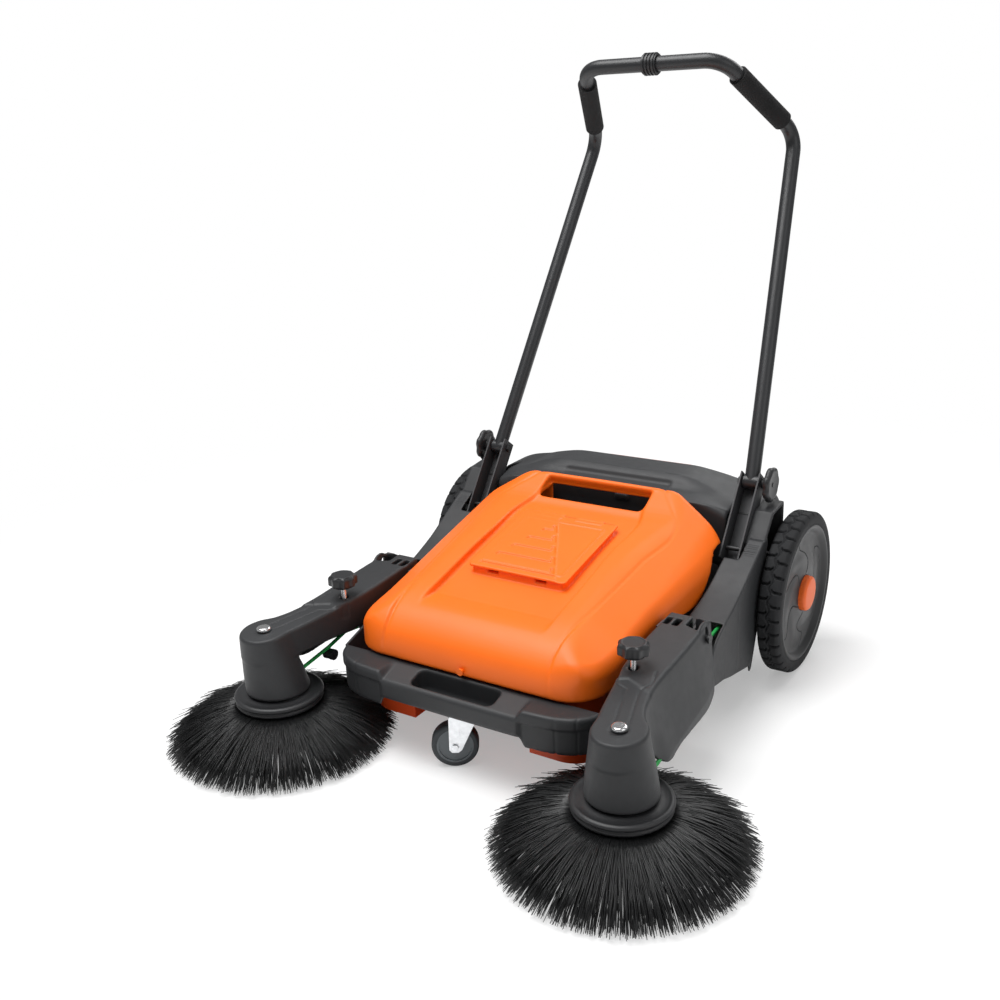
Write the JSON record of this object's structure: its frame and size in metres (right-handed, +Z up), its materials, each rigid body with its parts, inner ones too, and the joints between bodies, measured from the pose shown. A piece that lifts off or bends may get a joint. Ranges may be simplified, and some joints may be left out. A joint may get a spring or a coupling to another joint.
{
  "type": "walk behind sweeper",
  "caption": "Push sweeper with two round side brushes, a main brush roller, a lift-out hopper under a hood with a hatch, two drive wheels, a caster and a folding tube handle.",
  "frame": {"origin": "on the floor, at the middle of the machine's footprint", "axes": "front of the machine faces -Y, +X is to the right of someone looking at its front, +Z up"},
  "size_m": [0.98, 1.0754, 1.0235],
  "materials": {
    "hood_orange": "textured moulded plastic",
    "black_plastic": "fine textured moulded plastic",
    "tyre_rubber": "matt rubber",
    "cap_orange": "satin plastic",
    "zinc_steel": "zinc plated",
    "black_tube": "satin black paint",
    "foam": "closed cell foam",
    "green_belt": "matt polyurethane",
    "black_rubber": "matt rubber",
    "bristle": "nylon bristle",
    "gear_plastic": "natural nylon",
    "caster_grey": "grey rubber",
    "caster_core": "grey moulded plastic",
    "roller_core": "black plastic"
  },
  "bodies": {
    "chassis": {"chassis_shell": "black_plastic", "front_bumper": "black_plastic", "rear_cover": "black_plastic", "rear_panel": "hood_orange", "side_skirt_left": "black_plastic", "side_skirt_right": "black_plastic", "handle_brackets": "black_tube", "bracket_bolts": "zinc_steel", "handle_pivot_bolts": "zinc_steel", "wheel_axle": "zinc_steel", "axle_clips": "zinc_steel", "brush_bearings": "gear_plastic", "rear_flap": "black_rubber", "arm_pivot_pins": "zinc_steel", "gear_cover": "black_plastic", "belt_left": "green_belt", "belt_right": "green_belt", "drive_belt": "black_rubber", "caster_plate": "zinc_steel"},
    "hopper": {"hopper_tub": "hood_orange", "hopper_hood": "hood_orange", "hopper_screw": "zinc_steel", "hatch_pin": "zinc_steel"},
    "hatch": {"hatch_lid": "hood_orange"},
    "handle": {"handle_bar": "black_tube", "handle_tube_left": "black_tube", "handle_tube_right": "black_tube", "grip_left": "foam", "grip_right": "foam", "bar_collar": "black_plastic"},
    "handle_knob_right": {"handle_knob_right": "black_plastic"},
    "handle_knob_left": {"handle_knob_left": "black_plastic"},
    "wheel_right": {"tyre_right": "tyre_rubber", "rim_right": "black_plastic", "hub_cap_right": "cap_orange", "wheel_gear": "gear_plastic"},
    "wheel_left": {"tyre_left": "tyre_rubber", "rim_left": "black_plastic", "hub_cap_left": "cap_orange"},
    "countershaft": {"countershaft": "gear_plastic"},
    "main_brush": {"main_brush_core": "black_plastic", "main_brush_bristles": "bristle"},
    "arm_right": {"arm_housing_right": "black_plastic", "nose_bolt_right": "zinc_steel"},
    "arm_left": {"arm_housing_left": "black_plastic", "nose_bolt_left": "zinc_steel"},
    "height_knob_right": {"height_knob_right": "black_plastic"},
    "height_knob_left": {"height_knob_left": "black_plastic"},
    "side_brush_right": {"brush_spindle_right": "zinc_steel", "side_brush_disc_right": "black_plastic", "side_bristles_right": "bristle"},
    "side_brush_left": {"brush_spindle_left": "zinc_steel", "side_brush_disc_left": "black_plastic", "side_bristles_left": "bristle"},
    "guide_roller_right": {"guide_roller_right": "roller_core"},
    "guide_roller_left": {"guide_roller_left": "roller_core"},
    "caster": {"caster_fork": "zinc_steel", "caster_axle": "zinc_steel"},
    "caster_wheel": {"caster_wheel": "caster_core", "caster_tread": "caster_grey"}
  },
  "joints": [
    {"name": "wheel_right_spin", "type": "hinge", "parent": "chassis", "child": "wheel_right", "pos_m": [0.322, 0.26828, 0.14], "axis": [1, 0, 0], "continuous": true},
    {"name": "wheel_left_spin", "type": "hinge", "parent": "chassis", "child": "wheel_left", "pos_m": [-0.322, 0.26828, 0.14], "axis": [1, 0, 0], "continuous": true},
    {"name": "countershaft_spin", "type": "hinge", "parent": "chassis", "child": "countershaft", "pos_m": [0.26, 0.19743, 0.16579], "axis": [1, 0, 0], "continuous": true},
    {"name": "main_brush_spin", "type": "hinge", "parent": "chassis", "child": "main_brush", "pos_m": [0, 0.08328, 0.112], "axis": [1, 0, 0], "continuous": true},
    {"name": "hopper_lift", "type": "slide", "parent": "chassis", "child": "hopper", "axis": [0, 0, 1], "range_m": [0, 0.35]},
    {"name": "hatch_open", "type": "hinge", "parent": "hopper", "child": "hatch", "pos_m": [0, 0.06328, 0.286], "axis": [-1, 0, 0], "range_deg": [0, 110]},
    {"name": "handle_fold", "type": "hinge", "parent": "chassis", "child": "handle", "pos_m": [0, 0.23428, 0.3363], "axis": [-1, 0, 0], "range_deg": [-112, 15]},
    {"name": "handle_knob_right_turn", "type": "hinge", "parent": "chassis", "child": "handle_knob_right", "pos_m": [0.276, 0.23428, 0.3363], "axis": [1, 0, 0], "range_deg": [0, 1080]},
    {"name": "handle_knob_left_turn", "type": "hinge", "parent": "chassis", "child": "handle_knob_left", "pos_m": [-0.276, 0.23428, 0.3363], "axis": [-1, 0, 0], "range_deg": [0, 1080]},
    {"name": "arm_right_tilt", "type": "hinge", "parent": "chassis", "child": "arm_right", "pos_m": [0.27, -0.08072, 0.195], "axis": [-1, 0, 0], "range_deg": [-0.8, 2.3], "deforming": ["belt_right"]},
    {"name": "height_knob_right_turn", "type": "hinge", "parent": "arm_right", "child": "height_knob_right", "pos_m": [0.26, -0.22872, 0.205], "axis": [0, 0, -1], "range_deg": [-375, 1080]},
    {"name": "side_brush_right_spin", "type": "hinge", "parent": "arm_right", "child": "side_brush_right", "pos_m": [0.304, -0.35172, 0.112], "axis": [0, 0, 1], "continuous": true},
    {"name": "guide_roller_right_spin", "type": "hinge", "parent": "arm_right", "child": "guide_roller_right", "pos_m": [0.273, -0.25972, 0.112], "axis": [1, 0, 0], "continuous": true},
    {"name": "arm_left_tilt", "type": "hinge", "parent": "chassis", "child": "arm_left", "pos_m": [-0.27, -0.08072, 0.195], "axis": [-1, 0, 0], "range_deg": [-0.8, 2.3], "deforming": ["belt_left"]},
    {"name": "height_knob_left_turn", "type": "hinge", "parent": "arm_left", "child": "height_knob_left", "pos_m": [-0.26, -0.22872, 0.205], "axis": [0, 0, -1], "range_deg": [-375, 1080]},
    {"name": "side_brush_left_spin", "type": "hinge", "parent": "arm_left", "child": "side_brush_left", "pos_m": [-0.304, -0.35172, 0.112], "axis": [0, 0, 1], "continuous": true},
    {"name": "guide_roller_left_spin", "type": "hinge", "parent": "arm_left", "child": "guide_roller_left", "pos_m": [-0.273, -0.25972, 0.112], "axis": [1, 0, 0], "continuous": true},
    {"name": "caster_swivel", "type": "hinge", "parent": "chassis", "child": "caster", "pos_m": [0, -0.27672, 0.086], "axis": [0, 0, 1], "continuous": true},
    {"name": "caster_roll", "type": "hinge", "parent": "caster", "child": "caster_wheel", "pos_m": [-0.01167, -0.28445, 0.036], "axis": [0.5519, -0.8339, 0], "continuous": true}
  ],
  "couplings": [
    {"joint": "countershaft_spin", "follows": "wheel_right_spin", "ratio": -4},
    {"joint": "main_brush_spin", "follows": "wheel_right_spin", "ratio": -3.2727},
    {"joint": "side_brush_right_spin", "follows": "wheel_right_spin", "ratio": 1.5333},
    {"joint": "side_brush_left_spin", "follows": "wheel_left_spin", "ratio": -1.5333},
    {"joint": "guide_roller_right_spin", "follows": "wheel_right_spin", "ratio": 5.4118},
    {"joint": "guide_roller_left_spin", "follows": "wheel_left_spin", "ratio": 5.4118},
    {"joint": "height_knob_right_turn", "follows": "arm_right_tilt", "ratio": 460.83},
    {"joint": "height_knob_left_turn", "follows": "arm_left_tilt", "ratio": 460.83}
  ]
}
